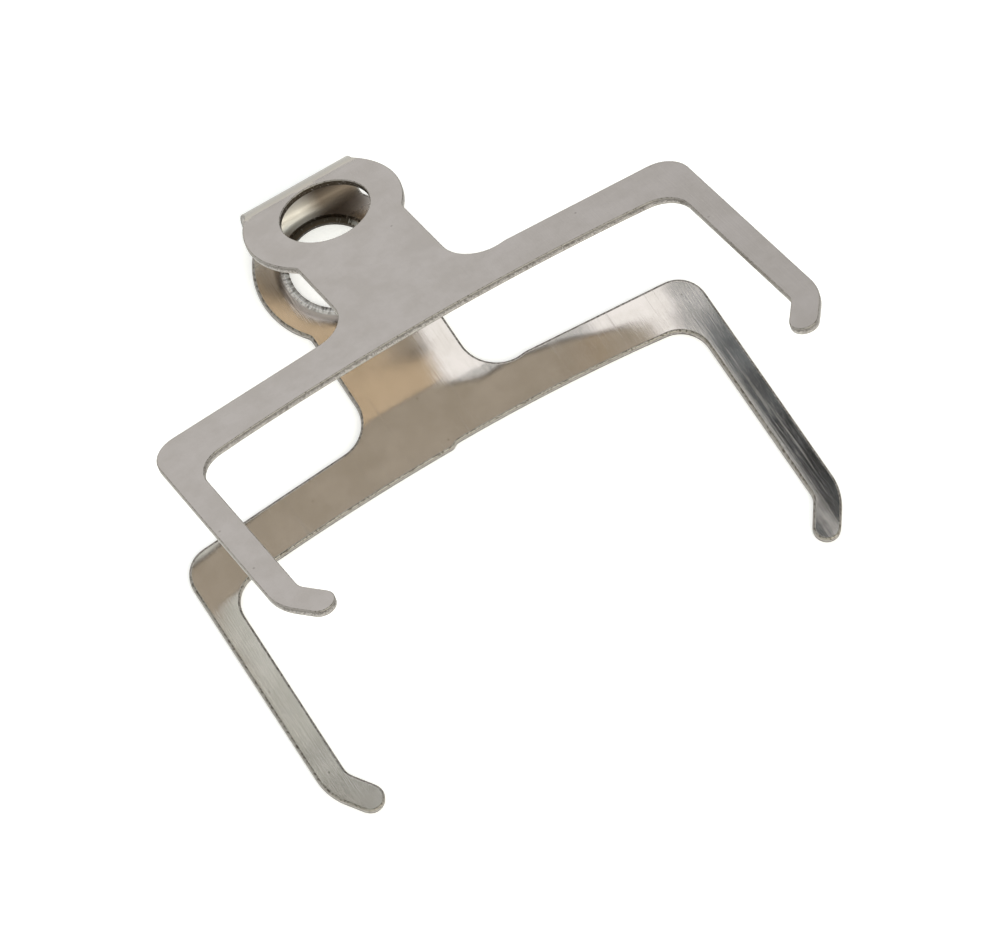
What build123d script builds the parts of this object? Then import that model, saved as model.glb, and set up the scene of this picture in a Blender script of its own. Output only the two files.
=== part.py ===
"""Disc brake pad spring: one die-cut strip of spring steel, folded at its eyes into a V of two like leaves."""
import os
from math import cos, radians, sin, sqrt, tan

from build123d import *

# Sheet and fold, in millimetres and degrees
sheet = 0.5              # strip thickness
bend_inside = 1.5        # inside radius of the fold
opening = 31.2           # angle between the two leaves
leaf_shift = 0.27        # how far the upper leaf sits to the right of the lower, as the die left it

# Eye that the pad pin passes through, at the fold end of each leaf
eye_bore = 5.6           # hole for the pad pin
eye_outside = 10.0       # round ear about the hole
upper_ear_left = 0.16    # how far the upper ear sits to the left of its hole
eye_land = 0.2           # flat left between the hole and the line where the fold starts

# Neck between the eye and the crossbar
neck_width = 7.48        # also the width of the strip round the fold
relief_radius = 2.4      # round corner between neck and crossbar
left_dip = 0.0           # depth that the left corner cuts below the crossbar's upper edge
right_dip = 0.1          # the same on the right, where the die left a small nick

# Crossbar and legs
span = 36.0              # overall width across the legs
crossbar_top = 10.38     # eye centre to the upper edge, on the centre line
crossbar_bottom = 13.64  # eye centre to the lower edge, on the centre line
droop = 3.9              # slope of each arm's upper edge
arch_rise = 1.02         # rise of the arched lower edge from the legs to the middle
leg_width = 1.71
outer_corner = 1.9       # outside corner between arm and leg
inner_corner = 1.95      # inside corner between arm and leg
leg_reach = 28.1         # eye centre to the corner of the hook, along the leg's middle
upper_reach_gain = 0.4   # how much farther the upper leaf's legs reach
mismatch = 0.22          # step in the lower leaf's lower edge, where two die cuts met
mismatch_run = 0.5       # width over which the step falls

# Inward hook at each leg's tip
hook_angle = 35.5        # turn away from the leg
hook_length = 2.12       # hook's corner to the centre of its round tip
hook_outer_corner = 3.6
hook_inner_corner = 1.0

# Die roll: the edge rounding that punching leaves on the inside of the V
eye_roll = 0.15          # at the rim of each hole, within the flat left by the fold
edge_roll = 0.15         # along the outline, clear of the ear

# Worked-out values
eye_to_bend = eye_bore / 2 + eye_land
bend_outside = bend_inside + sheet
half_bend = (180 - opening) / 2
bend_axis_z = sheet + bend_inside
fold_end = eye_to_bend + bend_outside + sheet
ear_reach = eye_to_bend + eye_outside / 2
half_span = span / 2
half_neck = neck_width / 2
half_leg = leg_width / 2
leg_middle = half_span - half_leg
slope = tan(radians(droop))


def relief_points(dip):
    """Where the neck's round corner starts, passes its middle and ends on the arm, for the right-hand side."""
    centre_x = half_neck + relief_radius
    arm_gap = relief_radius - dip
    centre_y = -crossbar_top - slope * centre_x + arm_gap / cos(radians(droop))
    along = sqrt(relief_radius**2 - arm_gap**2)
    end_x = centre_x - arm_gap * sin(radians(droop)) + along * cos(radians(droop))
    end_y = centre_y - arm_gap * cos(radians(droop)) - along * sin(radians(droop))
    middle = (centre_x - relief_radius * sin(radians(45)), centre_y - relief_radius * cos(radians(45)))
    return (half_neck, centre_y), middle, (end_x, end_y)


def side_corners(reach):
    """Sharp corners of the right-hand arm, leg and hook, by name, for legs of the given reach."""
    turn = radians(hook_angle)
    half_turn_shift = half_leg * tan(turn / 2)
    tip_x = leg_middle - hook_length * sin(turn)
    tip_y = -reach - hook_length * cos(turn)
    return {
        "shoulder": (half_span, -crossbar_top - slope * half_span),
        "hook_outside": (half_span, -reach - half_turn_shift),
        "tip_start": (tip_x + half_leg * cos(turn), tip_y - half_leg * sin(turn)),
        "tip": (tip_x - half_leg * sin(turn), tip_y - half_leg * cos(turn)),
        "tip_end": (tip_x - half_leg * cos(turn), tip_y + half_leg * sin(turn)),
        "hook_inside": (half_span - leg_width, -reach + half_turn_shift),
        "armpit": (half_span - leg_width, -crossbar_bottom - arch_rise),
    }


def leaf(step, strip_x, ear_centre, reach):
    """One leaf, flat on XY with its hole at the origin, and its half of the fold, whose middle is at strip_x.

    The arch's left half lies lower by step.
    """
    corners = side_corners(reach)
    roundings = (
        ("shoulder", outer_corner),
        ("hook_outside", hook_outer_corner),
        ("hook_inside", hook_inner_corner),
        ("armpit", inner_corner),
    )
    with BuildSketch() as plan:
        with BuildLine():
            for side, dip, drop in ((1, right_dip, 0), (-1, left_dip, step)):
                start, middle, end = [(side * x, y) for x, y in relief_points(dip)]
                at = {name: (side * x, y) for name, (x, y) in corners.items()}
                crown = (side * mismatch_run / 2, -crossbar_bottom - drop)
                Polyline((0, 0), (side * half_neck, 0), start)
                ThreePointArc(start, middle, end)
                Polyline(end, at["shoulder"], at["hook_outside"], at["tip_start"])
                ThreePointArc(at["tip_start"], at["tip"], at["tip_end"])
                Polyline(at["tip_end"], at["hook_inside"], at["armpit"])
                TangentArc(crown, at["armpit"], tangent=(side, 0))
            left_crown = (-mismatch_run / 2, -crossbar_bottom - step)
            right_crown = (mismatch_run / 2, -crossbar_bottom)
            if step:
                half_way = (0, -crossbar_bottom - step / 2)
                TangentArc(left_crown, half_way, tangent=(1, 0))
                TangentArc(right_crown, half_way, tangent=(-1, 0))
            else:
                Line(left_crown, right_crown)
        make_face()
        for name, radius in roundings:
            for side in (1, -1):
                corner = Vector(side * corners[name][0], corners[name][1])
                fillet(plan.vertices().sort_by_distance(corner)[0], radius)
        with Locations((strip_x, fold_end / 2)):
            Rectangle(neck_width, fold_end)
        with Locations(ear_centre):
            Circle(eye_outside / 2)
        Circle(eye_bore / 2, mode=Mode.SUBTRACT)

    with BuildPart() as half:
        with BuildSketch(Plane.YZ):
            with BuildLine():
                fold_start = -90
                leg_end = -reach - hook_length - leg_width
                axis = (eye_to_bend, bend_axis_z)
                outer = CenterArc(axis, bend_outside, fold_start, half_bend)
                inner = CenterArc(axis, bend_inside, fold_start, half_bend)
                Line(outer @ 1, inner @ 1)
                Polyline(outer @ 0, (leg_end, 0), (leg_end, sheet), inner @ 0)
            make_face()
        extrude(amount=span, both=True)
        extrude(plan.sketch, amount=bend_axis_z, mode=Mode.INTERSECT)
    return half


def outline_rim(part, plane):
    """The inside edges of one leaf's outline, from where its neck leaves the ear round to the neck's other side."""
    inner_face = part.faces().filter_by(plane).sort_by_distance(bend_axis)[0]
    return inner_face.outer_wire().edges().filter_by(lambda edge: (edge.center() - bend_axis).length > ear_reach)


bend_axis = Vector(0, eye_to_bend, bend_axis_z)
half_opening = radians(opening / 2)
bisector = Plane(bend_axis, x_dir=(1, 0, 0), z_dir=(0, sin(half_opening), cos(half_opening)))
upper_face = Plane(bend_axis, x_dir=(1, 0, 0), z_dir=(0, sin(2 * half_opening), cos(2 * half_opening)))
lower = leaf(mismatch, leaf_shift / 2, (0, 0), leg_reach)
upper = leaf(0, -leaf_shift / 2, (-upper_ear_left, 0), leg_reach + upper_reach_gain)

with BuildPart() as pad_spring:
    add(lower.part)
    with Locations((leaf_shift, 0, 0)):
        add(mirror(upper.part, about=bisector, mode=Mode.PRIVATE))
    fillet(outline_rim(pad_spring, Plane.XY) + outline_rim(pad_spring, upper_face), edge_roll)
    eye_rims = pad_spring.edges().filter_by(lambda edge: edge.is_closed).sort_by_distance(bend_axis)[:2]
    fillet(eye_rims, eye_roll)

pad_spring.part.label = "pad_spring"
os.makedirs("parts", exist_ok=True)
export_step(pad_spring.part, "parts/pad_spring.step")
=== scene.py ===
import math

import bpy
import numpy as np
from mathutils import Matrix, Vector
from mathutils.geometry import delaunay_2d_cdt


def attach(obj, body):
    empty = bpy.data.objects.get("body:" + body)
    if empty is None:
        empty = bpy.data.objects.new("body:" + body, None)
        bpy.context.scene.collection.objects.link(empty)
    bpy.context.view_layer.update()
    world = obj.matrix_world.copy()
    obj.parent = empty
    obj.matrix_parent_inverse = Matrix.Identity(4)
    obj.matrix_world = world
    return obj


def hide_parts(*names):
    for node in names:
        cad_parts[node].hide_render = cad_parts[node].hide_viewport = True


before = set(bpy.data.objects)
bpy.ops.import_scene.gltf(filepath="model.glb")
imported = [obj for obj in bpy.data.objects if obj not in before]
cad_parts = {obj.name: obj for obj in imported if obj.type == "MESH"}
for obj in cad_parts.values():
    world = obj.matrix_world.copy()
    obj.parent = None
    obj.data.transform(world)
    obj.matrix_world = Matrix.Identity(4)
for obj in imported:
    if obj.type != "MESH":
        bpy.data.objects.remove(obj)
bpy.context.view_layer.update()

bl_info = {
    "name": "Disc brake pad spring",
    "version": (1, 0, 0),
    "blender": (4, 5, 0),
    "location": "View3D > Sidebar > Pad Spring",
    "description": "Folded spring steel clip that keeps a bicycle's disc brake pads apart, with its studio",
    "category": "Object",
}

MM = 0.001

# Points across the edge's section: on its broken outer corner, down its wall and round its die roll
BREAK_POINTS, WALL_POINTS, ROLL_POINTS = 4, 3, 9
# Points along each half of the crossbar's arch, and rows of points round the fold
ARCH_POINTS, FOLD_ROWS = 60, 41
# Half the table top's width, in metres
TABLE_HALF = 1.2


def length(name, millimetres, description):
    """A length property, given in millimetres and held in metres."""
    return bpy.props.FloatProperty(
        name=name, description=description, default=millimetres * MM, min=0.0, precision=5, unit="LENGTH"
    )


def angle(name, degrees, description):
    """An angle property, given in degrees and held in radians."""
    return bpy.props.FloatProperty(
        name=name, description=description, default=math.radians(degrees), precision=3, unit="ROTATION"
    )


def share(name, value, description):
    """A property from 0 to 1."""
    return bpy.props.FloatProperty(
        name=name, description=description, default=value, min=0.0, max=1.0, subtype="FACTOR"
    )


def level(name, value, description):
    """A brightness, where 1 is white."""
    return bpy.props.FloatProperty(name=name, description=description, default=value, min=0.0)


def linear(hex_colour):
    """An sRGB hex colour as linear red, green and blue: each channel undone by the sRGB curve."""
    srgb = np.array([int(hex_colour[k : k + 2], 16) / 255 for k in (1, 3, 5)])
    return tuple(np.where(srgb <= 0.04045, srgb / 12.92, ((srgb + 0.055) / 1.055) ** 2.4))


def colour(name, hex_colour, description):
    """A colour property, given as an sRGB hex value."""
    return bpy.props.FloatVectorProperty(
        name=name, description=description, default=linear(hex_colour), size=3, min=0.0, max=1.0,
        subtype="COLOR",
    )


class SpringSizes(bpy.types.PropertyGroup):
    """Sizes of the strip, its fold, its two leaves and the marks that punching left."""

    sheet: length("Sheet", 0.5, "Strip thickness")
    bend_inside: length("Bend radius", 1.5, "Inside radius of the fold")
    opening: angle("Opening", 31.2, "Angle between the two leaves")
    leaf_shift: length("Leaf shift", 0.27, "How far the upper leaf sits to the right of the lower")
    eye_bore: length("Eye bore", 5.6, "Hole for the pad pin")
    eye_outside: length("Ear", 10.0, "Round ear about the hole")
    upper_ear_left: length("Upper ear left", 0.16, "How far the upper ear sits to the left of its hole")
    eye_land: length("Eye land", 0.2, "Flat left between the hole and the fold")
    neck_width: length("Neck width", 7.48, "Width of the neck and of the strip round the fold")
    relief_radius: length("Relief radius", 2.4, "Round corner between neck and crossbar")
    left_dip: length("Left dip", 0.0, "Depth that the left corner cuts into the crossbar")
    right_dip: length("Right dip", 0.1, "Depth that the right corner cuts into the crossbar")
    span: length("Span", 36.0, "Overall width across the legs")
    crossbar_top: length("Crossbar top", 10.38, "Eye centre to the crossbar's upper edge")
    crossbar_bottom: length("Crossbar bottom", 13.64, "Eye centre to the crossbar's lower edge")
    droop: angle("Droop", 3.9, "Slope of each arm's upper edge")
    arch_rise: length("Arch rise", 1.02, "Rise of the crossbar's arched lower edge")
    leg_width: length("Leg width", 1.71, "Width of each leg")
    outer_corner: length("Outer corner", 1.9, "Outside corner between arm and leg")
    inner_corner: length("Inner corner", 1.95, "Inside corner between arm and leg")
    leg_reach: length("Leg reach", 28.1, "Eye centre to the hook's corner")
    upper_reach_gain: length("Upper reach gain", 0.4, "How much farther the upper leaf's legs reach")
    mismatch: length("Die mismatch", 0.22, "Step in the lower leaf's lower edge, where two die cuts met")
    mismatch_run: length("Mismatch run", 0.3, "Width over which the step falls")
    hook_angle: angle("Hook angle", 35.5, "Turn of the hook away from its leg")
    hook_length: length("Hook length", 2.12, "Hook's corner to the centre of its round tip")
    hook_outer_corner: length("Hook outer corner", 3.6, "Outside rounding of the hook's corner")
    hook_inner_corner: length("Hook inner corner", 1.0, "Inside rounding of the hook's corner")
    edge_roll_width: length("Edge roll width", 0.17, "Reach of the die roll in from the outline")
    edge_roll_depth: length("Edge roll depth", 0.12, "Depth of the die roll at the outline")
    eye_roll_width: length("Eye roll width", 0.35, "Reach of the die roll out from each hole")
    eye_roll_depth: length("Eye roll depth", 0.15, "Depth of the die roll at each hole")
    edge_break: length("Edge break", 0.06, "Rounding of the sharp edge on the outside of the V")
    corner_softness: length("Corner softness", 0.1, "Blur along the outline that rounds its sharp corners")
    outline_step: length("Outline step", 0.12, "Spacing of points along the outline")
    face_step: length("Face step", 1.1, "Spacing of points across the flat faces")


class SteelFinish(bpy.types.PropertyGroup):
    """Colours and roughness of the rolled faces and of the sheared edges."""

    face_colour: colour("Face", "#c6beb6", "Rolled stainless steel, seen square on")
    face_shade: colour("Face shade", "#bfb7ae", "Darker clouds in the rolled faces")
    face_roughness: share("Face roughness", 0.075, "Roughness of the rolled faces")
    scratch_roughness: share("Scratch roughness", 0.18, "Roughness of the scratches along the strip")
    stretched: colour("Stretched", "#a5a09c", "Stretched steel round the fold")
    fold_roughness: share("Fold roughness", 0.24, "Roughness of the stretched steel round the fold")
    # Inside the fold the Stain colour is a pale painted reflection and the Pool colour painted shade.
    pale_reflection: colour("Stain", "#d0cac4", "Thin oil inside the fold")
    # The Pool colour marks real specks of dirt, and painted shade in the fold and round the lower ring.
    pool: colour("Pool", "#6d6258", "Thick oil inside the fold, and dirt")
    fold_inside_roughness: share("Oil roughness", 0.36, "Roughness of the oily steel inside the fold")
    burnish: colour("Burnish", "#cbc7c1", "Steel burnished by the punch at the eyes' rims")
    ring_roughness: share("Ring roughness", 0.25, "Roughness of the burnished steel")
    # The Eye wall colour is painted shade: its dark tone stands for the shade in the punched holes and their
    # rims.
    eye_wall_shade: colour("Eye wall", "#40382f", "Torn, grimy wall of the punched eyes")
    roll_colour: colour("Die roll", "#625b54", "Grime and tears in the rounded edge inside the V")
    roll_bright: colour("Die roll bright", "#a39d96", "Bare steel in the rounded edge inside the V")
    edge_colour: colour("Edge", "#86817e", "Torn part of the sheared edge")
    edge_bright: colour("Edge bright", "#c3bdba", "Smeared part of the sheared edge")
    edge_roughness: share("Edge roughness", 0.42, "Roughness of the sheared edge and of the die roll")


class StudioSettings(bpy.types.PropertyGroup):
    """Camera place, lens and the light tent's levels."""

    aim: bpy.props.FloatVectorProperty(
        name="Aim", description="Point at the middle of the picture", size=3, subtype="XYZ", unit="LENGTH",
        precision=5, default=(-0.00015, -0.01871, 0.008),
    )
    azimuth: angle("Azimuth", -34.51, "Turn of the camera round the vertical, 0 looking along +Y")
    elevation: angle("Elevation", 68.70, "Height of the camera above the horizon")
    roll: angle("Roll", 2.44, "Turn of the camera about its own line of sight")
    distance: length("Distance", 318.23, "Camera to the aim point")
    lens: bpy.props.FloatProperty(
        name="Lens", description="Focal length on a 36 mm wide frame", default=197.44, unit="CAMERA"
    )
    floor_colour: colour("Floor", "#f4f3f1", "Pale table top")
    floor_lift: level("Floor lift", 0.42, "Light added where the table top is seen, so that it is white")
    floor_mirrored_lift: level("Mirrored lift", 0.24, "The same where the steel mirrors the table top")
    front_colour: colour("Front", "#fffef0", "Warm white of the tent's front and of the main panel")
    back_colour: colour("Back", "#f8fbff", "Cool white of the tent's back and of the second panel")
    top_colour: colour("Top", "#f6fffa", "Faint green white of the tent's top")
    corner_colour: colour("Corner", "#e4f3ff", "Blue white of the top's right corner")
    front_level: level("Front level", 0.9, "Brightness of the tent's front, towards the legs")
    back_level: level("Back level", 0.87, "Brightness of the tent's back, towards the fold")
    corner_level: level("Corner level", 0.71, "Brightness of the tent's back right corner")
    low_level: level("Low level", 0.86, "Brightness of the tent's back near the table")
    top_level: level("Top level", 0.82, "Brightness of the tent's top")
    top_front_level: level("Top front level", 0.44, "Brightness of the top, nearer the front")
    top_right_level: level("Top right level", 1.6, "Brightness of the top, to the right")
    corner_top_level: level("Corner top level", 0.4, "Brightness of the top, farther to the right")
    rear_level: level("Rear level", 1.65, "Brightness of the second panel, overhead")
    gap_level: level("Gap level", 0.03, "Brightness of the dark gap beside the second panel")
    main_level: level("Main level", 3.4, "Brightness of the main panel, high in front")
    main_shade_level: level("Main shade level", 1.9, "Brightness of the main panel's shaded right side")


def arc(centre, radius, start, end, step):
    """Points on a circle from one angle to another in radians, spaced about a step apart."""
    count = max(3, int(abs(end - start) * radius / step) + 2)
    turn = np.linspace(start, end, count)
    return np.column_stack([centre[0] + radius * np.cos(turn), centre[1] + radius * np.sin(turn)])


def rounded(before, corner, after, radius, step):
    """An arc that touches both lines of a sharp corner.

    Its centre lies on the corner's bisector, radius over the sine of the half angle away from the corner.
    """
    before, corner, after = np.array(before), np.array(corner), np.array(after)
    back = (before - corner) / np.linalg.norm(before - corner)
    on = (after - corner) / np.linalg.norm(after - corner)
    half = math.acos(np.clip(back @ on, -1, 1)) / 2
    middle = (back + on) / np.linalg.norm(back + on)
    centre = corner + middle * radius / math.sin(half)
    foot = corner + back * radius / math.tan(half) - centre
    start = math.atan2(foot[1], foot[0])
    sweep = math.copysign(math.pi - 2 * half, back[0] * on[1] - back[1] * on[0])
    return arc(centre, radius, start, start - sweep, step)


def side_outline(s, side, upper):
    """One side of a leaf's outline in flat millimetres, from the fold's middle to the crossbar's crown.

    The eye's centre is the origin, y runs towards the fold and x towards this side, which is 1 for the
    right and -1 for the left. Straight runs join the arcs of the ear, the relief, the corners, the hook and
    its tip, and the arch is an arc that is level at its crown.
    """
    dip = s["right_dip"] if side > 0 else s["left_dip"]
    drop = s["mismatch"] if side < 0 and not upper else 0.0
    reach = s["leg_reach"] + (s["upper_reach_gain"] if upper else 0.0)
    ear_x = -side * s["upper_ear_left"] if upper else 0.0
    strip_x = (-side if upper else side) * s["leaf_shift"] / 2
    fold_middle = s["eye_bore"] / 2 + s["eye_land"] + s["fold_length"] / 2
    step = s["outline_step"]
    half_neck, half_span, half_leg = s["neck_width"] / 2, s["span"] / 2, s["leg_width"] / 2
    ear, relief = s["eye_outside"] / 2, s["relief_radius"]
    strip = strip_x + half_neck
    slope, turn = s["droop"], s["hook_angle"]

    ear_start = math.acos((strip - ear_x) / ear)
    ear_end = -math.acos((half_neck - ear_x) / ear)

    relief_x = half_neck + relief
    arm_gap = relief - dip
    relief_y = -s["crossbar_top"] - math.tan(slope) * relief_x + arm_gap / math.cos(slope)
    relief_end = 1.5 * math.pi - slope + math.acos(arm_gap / relief)

    tip_x = half_span - half_leg - s["hook_length"] * math.sin(turn)
    tip_y = -reach - s["hook_length"] * math.cos(turn)
    shift = half_leg * math.tan(turn / 2)
    shoulder = (half_span, -s["crossbar_top"] - math.tan(slope) * half_span)
    hook_outside = (half_span, -reach - shift)
    hook_inside = (half_span - s["leg_width"], -reach + shift)
    armpit = (half_span - s["leg_width"], -s["crossbar_bottom"] - s["arch_rise"])

    crown_x = s["mismatch_run"] / 2
    crown_y = -s["crossbar_bottom"] - drop
    run, rise = armpit[0] - crown_x, crown_y - armpit[1]
    arch = (run**2 + rise**2) / (2 * rise)
    # The arch is drawn from where the corner's rounding has ended.
    corner_end = 1.6 * s["inner_corner"]
    arch_x = np.linspace(run - corner_end, 0, ARCH_POINTS)
    arch_y = crown_y - arch + np.sqrt(arch**2 - arch_x**2)
    arch_points = np.column_stack([crown_x + arch_x, arch_y])

    neck_foot = (half_neck, relief_y)
    arm_start = (relief_x + relief * math.cos(relief_end), relief_y + relief * math.sin(relief_end))
    tip_start = (tip_x + half_leg * math.cos(turn), tip_y - half_leg * math.sin(turn))
    tip_end = (tip_x - half_leg * math.cos(turn), tip_y + half_leg * math.sin(turn))
    return np.vstack([
        [(strip, fold_middle)],
        arc((ear_x, 0.0), ear, ear_start, ear_end, step),
        [neck_foot],
        arc((relief_x, relief_y), relief, math.pi, relief_end, step),
        rounded(arm_start, shoulder, hook_outside, s["outer_corner"], step),
        rounded(shoulder, hook_outside, tip_start, s["hook_outer_corner"], step),
        arc((tip_x, tip_y), half_leg, -turn, -turn - math.pi, step),
        rounded(tip_end, hook_inside, armpit, s["hook_inner_corner"], step),
        rounded(hook_inside, armpit, arch_points[0], s["inner_corner"], step),
        arch_points,
    ])


def even_loop(points, step, softness):
    """A closed path taken at even steps and blurred along its length by a Gaussian of the given width."""
    closed = np.vstack([points, points[:1]])
    run = np.concatenate([[0], np.cumsum(np.hypot(*np.diff(closed, axis=0).T))])
    count = int(run[-1] / step)
    at = np.arange(count) * run[-1] / count
    path = np.interp(at, run, closed[:, 0]) + 1j * np.interp(at, run, closed[:, 1])
    waves = np.fft.fftfreq(count, run[-1] / count)
    path = np.fft.ifft(np.fft.fft(path) * np.exp(-2 * (math.pi * softness * waves) ** 2))
    return np.column_stack([path.real, path.imag])


def blank_loops(s):
    """The flat strip's outline and its two holes in millimetres, x across and u along the strip.

    u is 0 where the fold starts on the lower leaf and fold_length where it ends on the upper. The outline
    runs anticlockwise and the holes clockwise, so that the steel always lies to the left of the path. The
    holes, which curve most, have their points closer together.
    """
    to_bend = s["eye_bore"] / 2 + s["eye_land"]
    hole_step = 0.7 * s["outline_step"]
    lower, upper = [], []
    for side in (1, -1):
        lower.append(side_outline(s, side, False) * (side, 1) - (0, to_bend))
        upper.append(side_outline(s, side, True) * (side, -1) + (s["leaf_shift"], s["fold_length"] + to_bend))
    outline = np.vstack([upper[0], upper[1][::-1], lower[1], lower[0][::-1]])
    holes = []
    for x, u in ((0.0, -to_bend), (s["leaf_shift"], s["fold_length"] + to_bend)):
        holes.append(arc((x, u), s["eye_bore"] / 2, 2 * math.pi, 0, hole_step)[:-1])
    return even_loop(outline, s["outline_step"], s["corner_softness"]), holes


def edge_profile(sheet, edge_break, roll_width, roll_depth):
    """The sheet's edge in section: inset from the outline, depth from the outer face and each normal.

    A small round takes off the outer edge, a straight wall follows, and a quarter ellipse is the die roll.
    """
    small = np.linspace(math.pi / 2, 0, BREAK_POINTS)
    large = np.linspace(0, math.pi / 2, ROLL_POINTS)
    wall_end = sheet - roll_depth
    wall = np.linspace(edge_break, wall_end, WALL_POINTS + 2)[1:-1]
    inset = np.concatenate([edge_break * (1 - np.cos(small)), 0 * wall, roll_width * (1 - np.cos(large))])
    depth = np.concatenate([edge_break * (1 - np.sin(small)), wall, wall_end + roll_depth * np.sin(large)])
    out = np.concatenate([np.cos(small), np.ones_like(wall), np.cos(large) / roll_width])
    inward = np.concatenate([-np.sin(small), 0 * wall, np.sin(large) / roll_depth])
    size = np.hypot(out, inward)
    return inset, depth, out / size, inward / size


def carry_profile(loop, profile):
    """An edge section carried round a closed path: a grid of flat places (x, u, depth) and flat normals.

    Each point of the path moves to its left by the inset, and its normal leans from the path's right to the
    depth.
    """
    inset, depth, out, inward = profile
    along = np.roll(loop, -1, axis=0) - np.roll(loop, 1, axis=0)
    along /= np.linalg.norm(along, axis=1)[:, None]
    right = np.column_stack([along[:, 1], -along[:, 0]])
    places = np.empty((len(loop), len(inset), 3))
    places[..., :2] = loop[:, None] - right[:, None] * inset[None, :, None]
    places[..., 2] = depth
    normals = np.empty_like(places)
    normals[..., :2] = right[:, None] * out[None, :, None]
    normals[..., 2] = inward
    return places, normals


def inside(points, loops):
    """Which points lie in the steel: a ray to the right crosses the loops an odd number of times."""
    hits = np.zeros(len(points), int)
    for loop in loops:
        a, b = loop, np.roll(loop, -1, axis=0)
        spans = (a[None, :, 1] > points[:, 1, None]) != (b[None, :, 1] > points[:, 1, None])
        rise = np.where(a[:, 1] == b[:, 1], 1.0, b[:, 1] - a[:, 1])
        cross = a[:, 0] + (points[:, 1, None] - a[:, 1]) * (b[:, 0] - a[:, 0]) / rise
        hits += (spans & (cross > points[:, 0, None])).sum(1)
    return hits % 2 == 1


def fill(loops, s):
    """Triangles over the flat region between loops, coarse on the leaves and in close rows round the fold.

    Returns the inner points that were added and triangles numbered over the loops' points and then those.
    No inner point lies so near a loop that it would make slivers.
    """
    fold_gap = 0.5
    edge_gap = 1.5 * s["outline_step"]
    same_place = 1e-6
    edge = np.vstack(loops)
    low, high = edge.min(0), edge.max(0)
    rows = np.concatenate([
        np.arange(low[1], -fold_gap, s["face_step"]),
        np.linspace(0, s["fold_length"], FOLD_ROWS),
        np.arange(s["fold_length"] + fold_gap, high[1], s["face_step"]),
    ])
    columns = np.arange(low[0], high[0], s["face_step"] / 2)
    grid = np.stack(np.meshgrid(columns, rows), -1).reshape(-1, 2)
    grid = grid[inside(grid, loops)]
    apart = (grid**2).sum(1)[:, None] + (edge**2).sum(1) - 2 * grid @ edge.T
    grid = grid[apart.min(1) > edge_gap**2]
    rims, first = [], 0
    for loop in loops:
        index = first + np.arange(len(loop))
        rims.append(np.column_stack([index, np.roll(index, -1)]))
        first += len(loop)
    points = np.vstack([edge, grid])
    made = delaunay_2d_cdt(points.tolist(), np.vstack(rims).tolist(), [], 0, same_place)
    if len(made[0]) != len(points):
        raise ValueError("The outline crosses itself, so its faces cannot be filled")
    triangles = np.array(made[2])
    return grid, triangles[inside(points[triangles].mean(1), loops)]


def folded(places, normals, s):
    """Flat places and normals carried round the fold, in millimetres.

    Before the fold u is a length along Y. Round it, u is a share of the bend angle about the fold's axis,
    with the outside radius less the depth as radius. After it, u is a length along the turned leaf.
    """
    x, u, depth = places.T
    on_fold = np.clip(u, 0, s["fold_length"])
    turn = on_fold / s["fold_length"] * (math.pi - s["opening"])
    along = u - on_fold
    radius = s["bend_inside"] + s["sheet"] - depth
    y = s["eye_bore"] / 2 + s["eye_land"] + radius * np.sin(turn) + along * np.cos(turn)
    z = s["bend_inside"] + s["sheet"] - radius * np.cos(turn) + along * np.sin(turn)
    nx, nu, nd = normals.T
    ny = nu * np.cos(turn) - nd * np.sin(turn)
    nz = nu * np.sin(turn) + nd * np.cos(turn)
    return np.column_stack([x, y, z]), np.column_stack([nx, ny, nz])


def smooth_step(value, start, end):
    """0 up to start, 1 from end on, with a smooth rise between."""
    share_of = np.clip((value - start) / (end - start), 0, 1)
    return share_of**2 * (3 - 2 * share_of)


def pressed_lean(places, s):
    """Slight leans that the press left in the steel's faces, as slopes across and along the strip.

    Inside the lower leaf the neck leans to the fold and to the right, the crossbar away from the fold, less
    so near its lower edge, and its right arm to the fold and to the right, as the right leg does. Outside
    the upper leaf the fold starts softly. Each lean is a slope times smooth steps of the place in the flat
    strip. They are about three degrees at most and too small to see in the outline, but they move what the
    steel mirrors.
    """
    x, u, depth = places.T
    y = u + s["eye_bore"] / 2 + s["eye_land"]
    lower_inside = (depth > s["sheet"] / 2) & (u < 0)
    on_neck = smooth_step(y, -10.7, -9.7)
    neck = on_neck * (1 - smooth_step(y, -6.0, -3.0))
    bar_places = [-16.0, -11.0, 6.0, 8.9, 11.3, 13.7, 14.8, 16.6]
    bar_slopes = [0, -0.026, -0.025, -0.013, 0.011, 0.025, 0.022, 0]
    lower_edge = smooth_step(-y, 12.4, 13.8) * smooth_step(-x, -6.0, -2.0)
    crossbar = np.interp(x, bar_places, bar_slopes) * (1 - 0.8 * lower_edge)
    right_arm = smooth_step(x, 9.5, 13.0) * (1 - smooth_step(x, 14.6, 16.4))
    right_leg = smooth_step(x, 16.4, 17.0) * smooth_step(-y, 13.5, 17.0)
    right_hook = right_leg * smooth_step(-y, 26.5, 28.5)
    neck_across, arm_across, leg_across = 0.025, 0.05, 0.045
    neck_along, hook_along, soft_start = 0.033, 0.01, -0.03
    across = neck_across * neck + arm_across * right_arm + leg_across * right_leg
    along = neck_along * neck + crossbar * (1 - on_neck) + hook_along * right_hook
    past_fold = u - s["fold_length"]
    fold_end = smooth_step(past_fold, -0.8, 0.0) * (1 - smooth_step(past_fold, 0.0, 1.2))
    outside = np.where(depth < s["sheet"] / 2, soft_start * fold_end, 0)
    return np.where(lower_inside, across, 0), np.where(lower_inside, along, outside)


def sizes_in_millimetres(group):
    """The property group's lengths in millimetres and its angles in radians, with the fold's flat length."""
    s = {name: getattr(group, name) for name in SpringSizes.__annotations__}
    angles = ("opening", "droop", "hook_angle")
    s = {name: value if name in angles else value / MM for name, value in s.items()}
    s["fold_length"] = (s["bend_inside"] + s["sheet"] / 2) * (math.pi - s["opening"])
    return s


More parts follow.
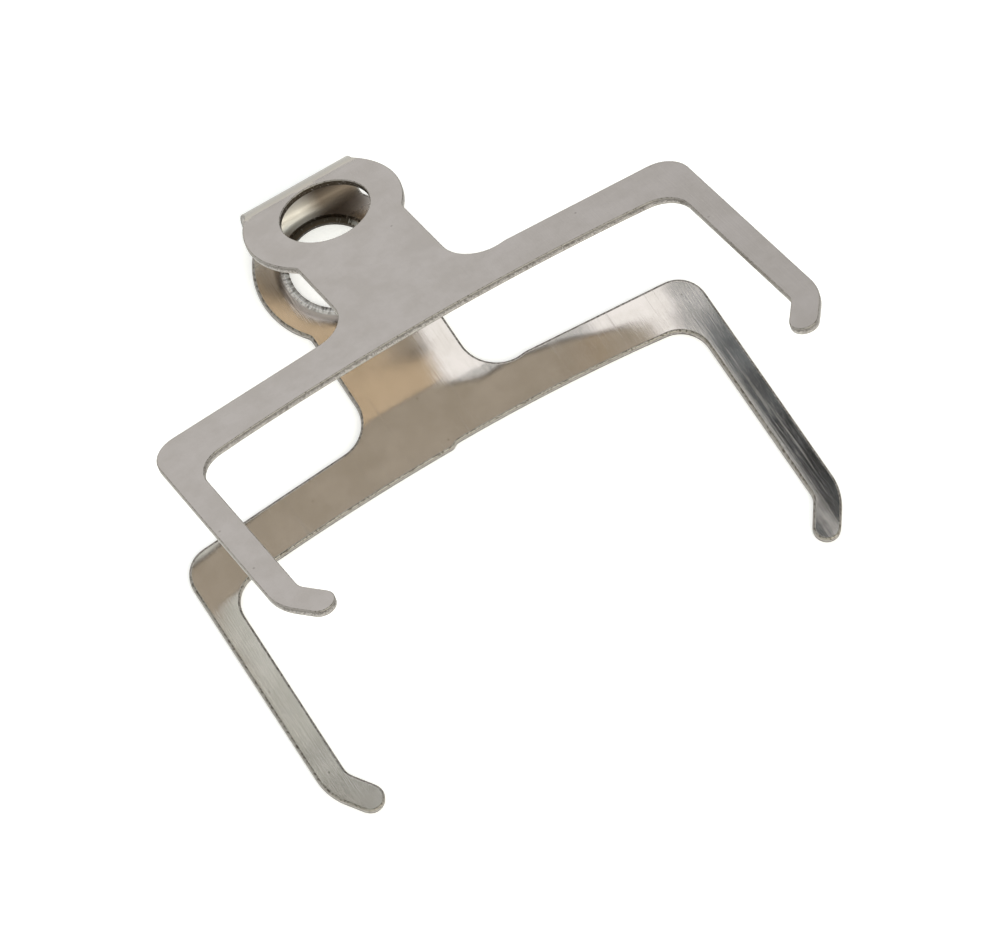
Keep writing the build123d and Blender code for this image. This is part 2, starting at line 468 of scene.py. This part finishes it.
def spring_mesh(s):
    """The whole spring as one closed mesh.

    The edge section is carried round the outline and both holes, the two flat faces fill what it leaves
    open, and everything is then folded. Faces of the sheared wall take the second material.
    """
    outline, holes = blank_loops(s)
    rim = edge_profile(s["sheet"], s["edge_break"], s["edge_roll_width"], s["edge_roll_depth"])
    eye = edge_profile(s["sheet"], s["edge_break"], s["eye_roll_width"], s["eye_roll_depth"])
    places, normals, quads, marks, eyes = [], [], [], [], []
    outer_index, inner_index, outer_loops, inner_loops = [], [], [], []
    first = 0
    for loop, profile in ((outline, rim), (holes[0], eye), (holes[1], eye)):
        place, normal = carry_profile(loop, profile)
        count, depth = place.shape[:2]
        index = first + np.arange(count * depth).reshape(count, depth)
        on = np.roll(index, -1, axis=0)
        quad = np.stack([index[:, :-1], on[:, :-1], on[:, 1:], index[:, 1:]], -1)
        wall = np.zeros(quad.shape[:2], int)
        wall[:, BREAK_POINTS - 1 : BREAK_POINTS + WALL_POINTS] = 1
        places.append(place.reshape(-1, 3))
        normals.append(normal.reshape(-1, 3))
        quads.append(quad.reshape(-1, 4))
        marks.append(wall.ravel())
        eyes.append(np.full(count * depth, float(loop is not outline)))
        outer_index.append(index[:, 0])
        inner_index.append(index[:, -1])
        outer_loops.append(place[:, 0, :2])
        inner_loops.append(place[:, -1, :2])
        first += count * depth
    triangles = []
    for loops, index, depth, facing in (
        (outer_loops, outer_index, 0.0, -1.0), (inner_loops, inner_index, s["sheet"], 1.0)
    ):
        grid, faces = fill(loops, s)
        names = np.concatenate([*index, first + np.arange(len(grid))])
        triangles.append(names[faces] if facing > 0 else names[faces][:, ::-1])
        places.append(np.column_stack([grid, np.full(len(grid), depth)]))
        normals.append(np.column_stack([0 * grid, np.full(len(grid), facing)]))
        eyes.append(np.zeros(len(grid)))
        first += len(grid)
    flat, flat_normals = np.vstack(places), np.vstack(normals)
    edge = np.hypot(flat_normals[:, 0], flat_normals[:, 1])
    across, along = pressed_lean(flat, s)
    flat_normals[:, 0] += across
    flat_normals[:, 1] += along
    flat_normals /= np.linalg.norm(flat_normals, axis=1)[:, None]
    points, point_normals = folded(flat, flat_normals, s)

    faces = [*np.vstack(quads).tolist(), *np.vstack(triangles).tolist()]
    mesh = bpy.data.meshes.new("pad_spring_steel")
    mesh.from_pydata(points * MM, [], faces)
    slots = np.zeros(len(faces), np.int32)
    slots[: len(np.concatenate(marks))] = np.concatenate(marks)
    mesh.polygons.foreach_set("material_index", slots)
    mesh.shade_smooth()
    mesh.normals_split_custom_set_from_vertices(point_normals)

    corners = np.empty(len(mesh.loops), np.int32)
    mesh.loops.foreach_get("vertex_index", corners)
    strip = mesh.uv_layers.new(name="strip")
    strip.uv.foreach_set("vector", flat[corners, :2].astype(np.float32).ravel())
    for name, values in (("depth", flat[:, 2]), ("edge", edge), ("eye", np.concatenate(eyes))):
        attribute = mesh.attributes.new(name, "FLOAT", "POINT")
        attribute.data.foreach_set("value", values.astype(np.float32))
    mesh.validate()
    return mesh


def node(tree, kind, inputs=None, **settings):
    """Adds a node: settings are its own properties, and each input takes a value, a socket or another node.

    Another node stands for the first of its outputs that is in use.
    """
    made = tree.nodes.new(kind)
    for name, value in settings.items():
        setattr(made, name, value)
    for name, value in (inputs or {}).items():
        if isinstance(value, bpy.types.Node):
            value = next(socket for socket in value.outputs if socket.enabled)
        if isinstance(value, bpy.types.NodeSocket):
            tree.links.new(value, made.inputs[name])
        else:
            made.inputs[name].default_value = value
    return made


def new_material(name):
    """A material with an empty node tree, and the tree."""
    material = bpy.data.materials.new(name)
    material.use_nodes = True
    material.node_tree.nodes.clear()
    return material, material.node_tree


def rolled_steel(finish, sizes):
    """Cold rolled stainless spring steel: a dull mirror, warm grey, with fine rolling lines along the strip.

    Stretched steel round the fold is duller and slightly pebbled, and the die roll at the edges is speckled.
    A few scratches run with the rolling lines, and a few specks of dirt lie on the faces. Inside the fold a
    pale painted reflection turns to painted shade right of the middle. The punch left a burnished ring round
    each eye, painted shade towards the fold and round the upper hole, and a band of painted shade goes round
    the lower ring.
    """
    material, tree = new_material("rolled_stainless_spring_steel")
    half_fold, half_sheet, eye_radius = sizes["fold_length"] / 2, sizes["sheet"] / 2, sizes["eye_bore"] / 2
    pool = (*finish.pool, 1.0)
    strip = node(tree, "ShaderNodeUVMap", uv_map="strip")
    place = node(tree, "ShaderNodeSeparateXYZ", {"Vector": strip}).outputs
    across, along = place["X"], place["Y"]
    edge = node(tree, "ShaderNodeAttribute", attribute_name="edge").outputs["Fac"]
    depth = node(tree, "ShaderNodeAttribute", attribute_name="depth").outputs["Fac"]
    inner = node(tree, "ShaderNodeMapRange", {
        "Value": depth, "From Min": half_sheet - 0.05, "From Max": half_sheet + 0.05,
    })
    on_roll = node(tree, "ShaderNodeMapRange", {"Value": edge, "From Min": 0.03, "From Max": 0.15})

    # Steel is stretched up to the fold's ends and a little past them. The painted reflection and shade inside
    # the fold reach 1.8 mm past them.
    stretch_past, stretch_full, reach_past = 0.4, 0.6, 1.8
    from_middle = node(tree, "ShaderNodeMath", {0: along, 1: half_fold}, operation="SUBTRACT")
    from_middle = node(tree, "ShaderNodeMath", {0: from_middle}, operation="ABSOLUTE")
    on_fold = node(tree, "ShaderNodeMapRange", {
        "Value": from_middle, "From Min": half_fold + stretch_past, "From Max": half_fold - stretch_full,
    }, interpolation_type="SMOOTHSTEP")
    fold_reach = node(tree, "ShaderNodeMapRange", {
        "Value": from_middle, "From Min": half_fold + reach_past, "From Max": half_fold,
    }, interpolation_type="SMOOTHSTEP")
    fold_inside = node(tree, "ShaderNodeMath", {0: inner, 1: fold_reach}, operation="MULTIPLY")
    worked = node(tree, "ShaderNodeMath", {0: edge, 1: on_fold}, operation="MAXIMUM")

    # Both eyes lie the same length from the fold's middle. A place near one is its radius and bearing.
    eye_place = half_fold + sizes["eye_land"] + eye_radius
    upper = node(tree, "ShaderNodeMath", {0: along, 1: half_fold}, operation="GREATER_THAN")
    eye_x = node(tree, "ShaderNodeMath", {
        0: upper, 1: -sizes["leaf_shift"], 2: across,
    }, operation="MULTIPLY_ADD")
    eye_y = node(tree, "ShaderNodeMath", {0: from_middle, 1: eye_place}, operation="SUBTRACT")
    about_eye = node(tree, "ShaderNodeCombineXYZ", {"X": eye_x, "Y": eye_y})
    radius = node(tree, "ShaderNodeVectorMath", {0: about_eye}, operation="LENGTH")
    bearing = node(tree, "ShaderNodeMath", {0: eye_y, 1: eye_x}, operation="ARCTAN2")

    # Rolling lines are about 0.02 mm apart. They are drawn at 0.07 mm so that they show.
    lines = node(tree, "ShaderNodeMapping", {"Vector": strip, "Scale": (14.0, 0.35, 1.0)})
    grain = node(tree, "ShaderNodeTexNoise", {
        "Vector": lines, "Scale": 1.0, "Detail": 4.0, "Roughness": 0.65,
    }, noise_dimensions="2D")
    # Scratches are several millimetres long. They are drawn about 0.1 mm wide so that they show.
    runs = node(tree, "ShaderNodeMapping", {"Vector": strip, "Scale": (5.0, 0.1, 1.0)})
    scratch = node(tree, "ShaderNodeTexNoise", {
        "Vector": runs, "Scale": 1.0, "Detail": 3.0, "Roughness": 0.7,
    }, noise_dimensions="2D")
    scratch = node(tree, "ShaderNodeMapRange", {"Value": scratch, "From Min": 0.62, "From Max": 0.7})
    # Clouds are about 2 mm wide, and the pebbles of worked steel 0.15 mm.
    clouds = node(tree, "ShaderNodeTexNoise", {
        "Vector": strip, "Scale": 0.45, "Detail": 5.0, "Roughness": 0.6,
    }, noise_dimensions="2D")
    cloudy = node(tree, "ShaderNodeMapRange", {"Value": clouds, "From Min": 0.35, "From Max": 0.65})
    pebbles = node(tree, "ShaderNodeTexNoise", {
        "Vector": strip, "Scale": 7.0, "Detail": 3.0, "Roughness": 0.6,
    }, noise_dimensions="2D")
    # Specks of dirt are about 0.1 mm across and lie in a few of the cells, which are 3 mm wide.
    cells = node(tree, "ShaderNodeTexVoronoi", {"Vector": strip, "Scale": 0.35}, voronoi_dimensions="2D")
    chosen = node(tree, "ShaderNodeSeparateXYZ", {"Vector": cells.outputs["Color"]})
    chosen = node(tree, "ShaderNodeMapRange", {"Value": chosen, "From Min": 0.6, "From Max": 1.0})
    speck = node(tree, "ShaderNodeMapRange", {
        "Value": cells.outputs["Distance"], "From Min": 0.035, "From Max": 0.01, "To Max": 0.45,
    })
    speck = node(tree, "ShaderNodeMath", {0: speck, 1: chosen}, operation="MULTIPLY")

    # Tears lie thickest where the die roll leaves the flat face.
    tears = node(tree, "ShaderNodeMath", {0: edge, 1: 0.25, 2: pebbles}, operation="MULTIPLY_ADD")
    bare = node(tree, "ShaderNodeMapRange", {"Value": tears, "From Min": 0.5, "From Max": 0.62})
    rim = node(tree, "ShaderNodeMix", {
        "Factor": bare, "A": (*finish.roll_colour, 1.0), "B": (*finish.roll_bright, 1.0),
    }, data_type="RGBA")

    # Round the lower hole the punch left a burnished ring with radial ticks 0.15 mm apart. Towards the fold
    # and on the upper leaf, where it is narrower, the ring is painted shade in the Eye wall colour.
    ring_edge, ring_fade, upper_narrower = eye_radius + 0.6, 0.15, 0.25
    rays = node(tree, "ShaderNodeCombineXYZ", {"X": bearing, "Y": radius})
    rays = node(tree, "ShaderNodeMapping", {"Vector": rays, "Scale": (21.0, 1.6, 1.0)})
    ticks = node(tree, "ShaderNodeTexNoise", {
        "Vector": rays, "Scale": 1.0, "Detail": 2.0, "Roughness": 0.6,
    }, noise_dimensions="2D")
    burnish_over_shade = node(tree, "ShaderNodeMapRange", {
        "Value": eye_y, "From Min": -2.6, "From Max": -0.8, "To Min": -0.35, "To Max": 0.12,
    })
    for cause, weight in ((upper, -0.6), (edge, -0.2), (ticks, 1.0)):
        burnish_over_shade = node(tree, "ShaderNodeMath", {0: cause, 1: weight, 2: burnish_over_shade}, operation="MULTIPLY_ADD")
    burnished = node(tree, "ShaderNodeMapRange", {"Value": burnish_over_shade, "From Min": 0.28, "From Max": 0.66})
    ring = node(tree, "ShaderNodeMix", {
        "Factor": burnished, "A": (*finish.eye_wall_shade, 1.0), "B": (*finish.burnish, 1.0),
    }, data_type="RGBA")
    on_ring = node(tree, "ShaderNodeMath", {
        0: upper, 1: upper_narrower, 2: radius,
    }, operation="MULTIPLY_ADD")
    on_ring = node(tree, "ShaderNodeMapRange", {
        "Value": on_ring, "From Min": ring_edge, "From Max": ring_edge - ring_fade,
    }, interpolation_type="SMOOTHSTEP")
    on_ring = node(tree, "ShaderNodeMath", {0: on_ring, 1: inner}, operation="MULTIPLY")
    marked = node(tree, "ShaderNodeMath", {0: on_roll, 1: on_ring}, operation="MAXIMUM")
    rolled = node(tree, "ShaderNodeMix", {"Factor": on_ring, "A": rim, "B": ring}, data_type="RGBA")

    # A soft band of painted shade goes round the lower ring.
    band_radius = eye_radius + 0.7
    band = node(tree, "ShaderNodeMath", {0: radius, 1: -band_radius}, operation="ADD")
    band = node(tree, "ShaderNodeMath", {0: band}, operation="ABSOLUTE")
    ring_shade = node(tree, "ShaderNodeMapRange", {
        "Value": band, "From Min": 0.32, "From Max": 0.08, "To Max": 0.65,
    }, interpolation_type="SMOOTHSTEP")
    lower_inside = node(tree, "ShaderNodeMath", {0: inner, 1: upper}, operation="SUBTRACT", use_clamp=True)
    ring_shade = node(tree, "ShaderNodeMath", {0: ring_shade, 1: lower_inside}, operation="MULTIPLY")

    # Inside the fold a pale painted reflection turns to painted shade, darkest right of the middle.
    shade_x = 2.4
    shade_right = node(tree, "ShaderNodeMath", {0: across, 1: -shade_x}, operation="ADD")
    shade_right = node(tree, "ShaderNodeMath", {0: shade_right}, operation="ABSOLUTE")
    shade_right = node(tree, "ShaderNodeMapRange", {
        "Value": shade_right, "From Min": 2.7, "From Max": 0.9,
    }, interpolation_type="SMOOTHSTEP")
    fold_reflection = node(tree, "ShaderNodeMix", {
        "Factor": shade_right, "A": (*finish.pale_reflection, 1.0), "B": pool,
    }, data_type="RGBA")

    # Each layer of colour, and then of roughness, lies over those before it.
    paint = node(tree, "ShaderNodeMix", {
        "Factor": cloudy, "A": (*finish.face_shade, 1.0), "B": (*finish.face_colour, 1.0),
    }, data_type="RGBA")
    stretched = (*finish.stretched, 1.0)
    for cover, layer in (
        (speck, pool), (on_fold, stretched), (fold_inside, fold_reflection), (ring_shade, pool), (marked, rolled),
    ):
        paint = node(tree, "ShaderNodeMix", {"Factor": cover, "A": paint, "B": layer}, data_type="RGBA")
    rough = node(tree, "ShaderNodeMapRange", {
        "Value": grain, "From Min": 0.3, "From Max": 0.7,
        "To Min": 0.75 * finish.face_roughness, "To Max": 1.3 * finish.face_roughness,
    })
    for cover, layer in (
        (scratch, finish.scratch_roughness), (on_fold, finish.fold_roughness),
        (fold_inside, finish.fold_inside_roughness), (on_ring, finish.ring_roughness), (on_roll, finish.edge_roughness),
    ):
        rough = node(tree, "ShaderNodeMix", {"Factor": cover, "A": rough, "B": layer})

    # The rolling lines ride on slow waves a few millimetres long, and worked steel is pebbled instead.
    swell = node(tree, "ShaderNodeTexNoise", {
        "Vector": strip, "Scale": 0.4, "Detail": 0.0,
    }, noise_dimensions="2D")
    waves = node(tree, "ShaderNodeMath", {0: swell, 1: 2.5, 2: grain}, operation="MULTIPLY_ADD")
    height = node(tree, "ShaderNodeMix", {"Factor": worked, "A": waves, "B": pebbles})
    relief = node(tree, "ShaderNodeMapRange", {"Value": worked, "To Min": 0.13, "To Max": 0.5})
    bump = node(tree, "ShaderNodeBump", {"Height": height, "Strength": relief, "Distance": 0.02 * MM})
    tangent = node(tree, "ShaderNodeTangent", direction_type="UV_MAP", uv_map="strip")
    shader = node(tree, "ShaderNodeBsdfPrincipled", {
        "Base Color": paint, "Metallic": 1.0, "Roughness": rough, "Anisotropic": 0.6, "Normal": bump,
        "Tangent": tangent,
    })
    node(tree, "ShaderNodeOutputMaterial", {"Surface": shader})
    return material


def sheared_steel(finish):
    """Sheared edge of the strip: a smeared bright band next to the die roll and torn grey steel below it.

    The eyes' walls are darker, as painted shade, and pits add more: partly real, partly painted shade.
    """
    material, tree = new_material("sheared_stainless_edge")
    place = node(tree, "ShaderNodeTexCoord").outputs["Object"]
    depth = node(tree, "ShaderNodeAttribute", attribute_name="depth").outputs["Fac"]
    eye = node(tree, "ShaderNodeAttribute", attribute_name="eye").outputs["Fac"]
    # Tear marks are about 0.09 mm across.
    tears = node(tree, "ShaderNodeTexNoise", {
        "Vector": place, "Scale": 11000.0, "Detail": 3.0, "Roughness": 0.65,
    })
    torn = node(tree, "ShaderNodeMath", {0: depth, 1: tears}, operation="ADD")
    smeared = node(tree, "ShaderNodeMapRange", {"Value": torn, "From Min": 0.68, "From Max": 0.82})
    tone = node(tree, "ShaderNodeMix", {
        "Factor": smeared, "A": (*finish.edge_colour, 1.0), "B": (*finish.edge_bright, 1.0),
    }, data_type="RGBA")
    # Pits in the torn steel lie about 0.3 mm apart.
    pits = node(tree, "ShaderNodeTexNoise", {
        "Vector": place, "Scale": 3600.0, "Detail": 2.0, "Roughness": 0.6,
    })
    pits = node(tree, "ShaderNodeMapRange", {
        "Value": pits, "From Min": 0.52, "From Max": 0.64, "To Max": 0.4,
    })
    # The eyes' walls take the dark Eye wall colour as painted shade; pits are partly real, partly painted
    # shade.
    shade_and_pits = node(tree, "ShaderNodeMapRange", {"Value": tears, "From Min": 0.74, "From Max": 0.58})
    shade_and_pits = node(tree, "ShaderNodeMath", {0: shade_and_pits, 1: eye}, operation="MULTIPLY")
    shade_and_pits = node(tree, "ShaderNodeMath", {0: shade_and_pits, 1: pits}, operation="MAXIMUM")
    paint = node(tree, "ShaderNodeMix", {
        "Factor": shade_and_pits, "A": tone, "B": (*finish.eye_wall_shade, 1.0),
    }, data_type="RGBA")
    bump = node(tree, "ShaderNodeBump", {"Height": tears, "Strength": 0.5, "Distance": 0.03 * MM})
    shader = node(tree, "ShaderNodeBsdfPrincipled", {
        "Base Color": paint, "Metallic": 1.0, "Roughness": finish.edge_roughness, "Normal": bump,
    })
    node(tree, "ShaderNodeOutputMaterial", {"Surface": shader})
    return material


def table_top(studio):
    """White laminate table top: matt and pale, lifted to white where it is seen or mirrored, shadows kept."""
    material, tree = new_material("white_laminate")
    ray = node(tree, "ShaderNodeLightPath").outputs
    lift = node(tree, "ShaderNodeMath", {
        0: ray["Is Glossy Ray"], 1: studio.floor_mirrored_lift,
    }, operation="MULTIPLY")
    lift = node(tree, "ShaderNodeMath", {
        0: ray["Is Camera Ray"], 1: studio.floor_lift, 2: lift,
    }, operation="MULTIPLY_ADD")
    shader = node(tree, "ShaderNodeBsdfPrincipled", {
        "Base Color": (*studio.floor_colour, 1.0), "Roughness": 0.6, "Specular IOR Level": 0.0,
        "Emission Color": (1.0, 1.0, 1.0, 1.0), "Emission Strength": lift,
    })
    node(tree, "ShaderNodeOutputMaterial", {"Surface": shader})
    return material


def light_tent(studio):
    """World light: a warm white tent, cooler behind and above, with a main panel in front and one overhead.

    Each patch takes over from what lies under it by the product of its fades, which run along the look
    direction's axes and towards the main panel's middle. Where the camera looks past the part the world is
    white.
    """
    world = bpy.data.worlds.new("light_tent")
    world.use_nodes = True
    tree = world.node_tree
    tree.nodes.clear()
    look = node(tree, "ShaderNodeTexCoord").outputs["Generated"]
    main_middle = Vector((0.205, -0.688, 0.694)).normalized()
    measures = dict(node(tree, "ShaderNodeSeparateXYZ", {"Vector": look}).outputs.items())
    measures["main"] = node(tree, "ShaderNodeVectorMath", {0: look, 1: main_middle}, operation="DOT_PRODUCT")
    overhead = (0.75, 0.88)
    behind = (-0.75, 0.75)
    in_main = (0.927, 0.961)
    warm, cool = studio.front_colour, studio.back_colour
    green, blue = studio.top_colour, studio.corner_colour
    patches = (
        (cool, studio.back_level, {"Y": behind}),
        (cool, studio.corner_level, {"Y": behind, "X": (0.21, 0.28)}),
        (cool, studio.low_level, {"Y": behind, "Z": (0.15, 0.03)}),
        (green, studio.top_level, {"Z": overhead}),
        (green, studio.top_front_level, {"Z": overhead, "Y": (0.284, 0.266)}),
        (cool, studio.top_right_level, {"Z": overhead, "X": (0.18, 0.21)}),
        (cool, studio.rear_level, {"Z": overhead, "X": (0.16, 0.195), "Y": (0.318, 0.335)}),
        (blue, studio.corner_top_level, {"Z": overhead, "X": (0.236, 0.25), "Y": (0.33, 0.31)}),
        (cool, studio.gap_level, {"Z": overhead, "X": (0.255, 0.29), "Y": (0.315, 0.266)}),
        (green, studio.top_level, {"Z": overhead, "Y": (0.23, 0.2)}),
        (warm, studio.main_level, {"main": in_main}),
        (warm, studio.main_shade_level, {"main": in_main, "X": (0.265, 0.285)}),
    )
    tent = [*(studio.front_level * np.array(warm)), 1.0]
    for tint, brightness, fades in patches:
        part = 1.0
        for name, (start, end) in fades.items():
            fade = node(tree, "ShaderNodeMapRange", {
                "Value": measures[name], "From Min": start, "From Max": end,
            }, interpolation_type="SMOOTHSTEP")
            part = node(tree, "ShaderNodeMath", {0: fade, 1: part}, operation="MULTIPLY")
        patch = [*(brightness * np.array(tint)), 1.0]
        tent = node(tree, "ShaderNodeMix", {"Factor": part, "A": tent, "B": patch}, data_type="RGBA")
    glow = node(tree, "ShaderNodeBackground", {"Color": tent, "Strength": 1.0})
    white = node(tree, "ShaderNodeBackground", {"Color": (1.0, 1.0, 1.0, 1.0), "Strength": 1.0})
    camera_ray = node(tree, "ShaderNodeLightPath").outputs["Is Camera Ray"]
    shown = node(tree, "ShaderNodeMixShader", {0: camera_ray, 1: glow, 2: white})
    node(tree, "ShaderNodeOutputWorld", {"Surface": shown})
    return world


def link(name, data):
    """A new object at the origin, in the scene."""
    made = bpy.data.objects.new(name, data)
    bpy.context.scene.collection.objects.link(made)
    return made


class PAD_SPRING_OT_add_spring(bpy.types.Operator):
    """Add the folded spring steel pad spring"""

    bl_idname = "pad_spring.add_spring"
    bl_label = "Add Spring"

    def execute(self, context):
        scene = context.scene
        sizes = sizes_in_millimetres(scene.spring_sizes)
        mesh = spring_mesh(sizes)
        mesh.materials.append(rolled_steel(scene.steel_finish, sizes))
        mesh.materials.append(sheared_steel(scene.steel_finish))
        spring = link("pad_spring_steel", mesh)
        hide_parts("pad_spring")
        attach(spring, "root")
        return {"FINISHED"}


class PAD_SPRING_OT_add_stage(bpy.types.Operator):
    """Add the table top, light tent and camera"""

    bl_idname = "pad_spring.add_stage"
    bl_label = "Add Stage"

    def execute(self, context):
        scene = context.scene
        studio = scene.studio_settings

        mesh = bpy.data.meshes.new("table_top")
        signs = ((-1, -1), (1, -1), (1, 1), (-1, 1))
        mesh.from_pydata([(x * TABLE_HALF, y * TABLE_HALF, 0) for x, y in signs], [], [(0, 1, 2, 3)])
        mesh.materials.append(table_top(studio))
        link("table_top", mesh)

        scene.world = light_tent(studio)
        scene.view_settings.view_transform = "Standard"

        lens = bpy.data.cameras.new("camera")
        lens.sensor_width = 36.0
        lens.lens = studio.lens
        lens.clip_start = 0.01
        lens.clip_end = 10.0
        camera = link("camera", lens)
        ground = math.cos(studio.elevation)
        back = Vector((
            math.sin(studio.azimuth) * ground, -math.cos(studio.azimuth) * ground, math.sin(studio.elevation),
        ))
        turn = (-back).to_track_quat("-Z", "Y").to_matrix() @ Matrix.Rotation(studio.roll, 3, "Z")
        camera.matrix_world = Matrix.Translation(Vector(studio.aim) + back * studio.distance) @ turn.to_4x4()
        scene.camera = camera
        return {"FINISHED"}


class PAD_SPRING_PT_panel(bpy.types.Panel):
    """Sidebar panel with the spring's sizes, its finish and the studio"""

    bl_label = "Disc Brake Pad Spring"
    bl_space_type = "VIEW_3D"
    bl_region_type = "UI"
    bl_category = "Pad Spring"

    def draw(self, context):
        for operator, group in (
            (PAD_SPRING_OT_add_spring, context.scene.spring_sizes),
            (None, context.scene.steel_finish),
            (PAD_SPRING_OT_add_stage, context.scene.studio_settings),
        ):
            column = self.layout.box().column()
            for name in type(group).__annotations__:
                column.prop(group, name)
            if operator:
                column.operator(operator.bl_idname)


GROUPS = {"spring_sizes": SpringSizes, "steel_finish": SteelFinish, "studio_settings": StudioSettings}
CLASSES = (*GROUPS.values(), PAD_SPRING_OT_add_spring, PAD_SPRING_OT_add_stage, PAD_SPRING_PT_panel)


def register():
    """Adds the classes and gives the scene its settings."""
    for each in CLASSES:
        bpy.utils.register_class(each)
    for name, group in GROUPS.items():
        setattr(bpy.types.Scene, name, bpy.props.PointerProperty(type=group))


def unregister():
    """Takes away what register added."""
    for name in GROUPS:
        delattr(bpy.types.Scene, name)
    for each in reversed(CLASSES):
        bpy.utils.unregister_class(each)


def main():
    """Adds the spring and its stage."""
    register()
    bpy.ops.pad_spring.add_spring()
    bpy.ops.pad_spring.add_stage()


if __name__ == "__main__":
    main()
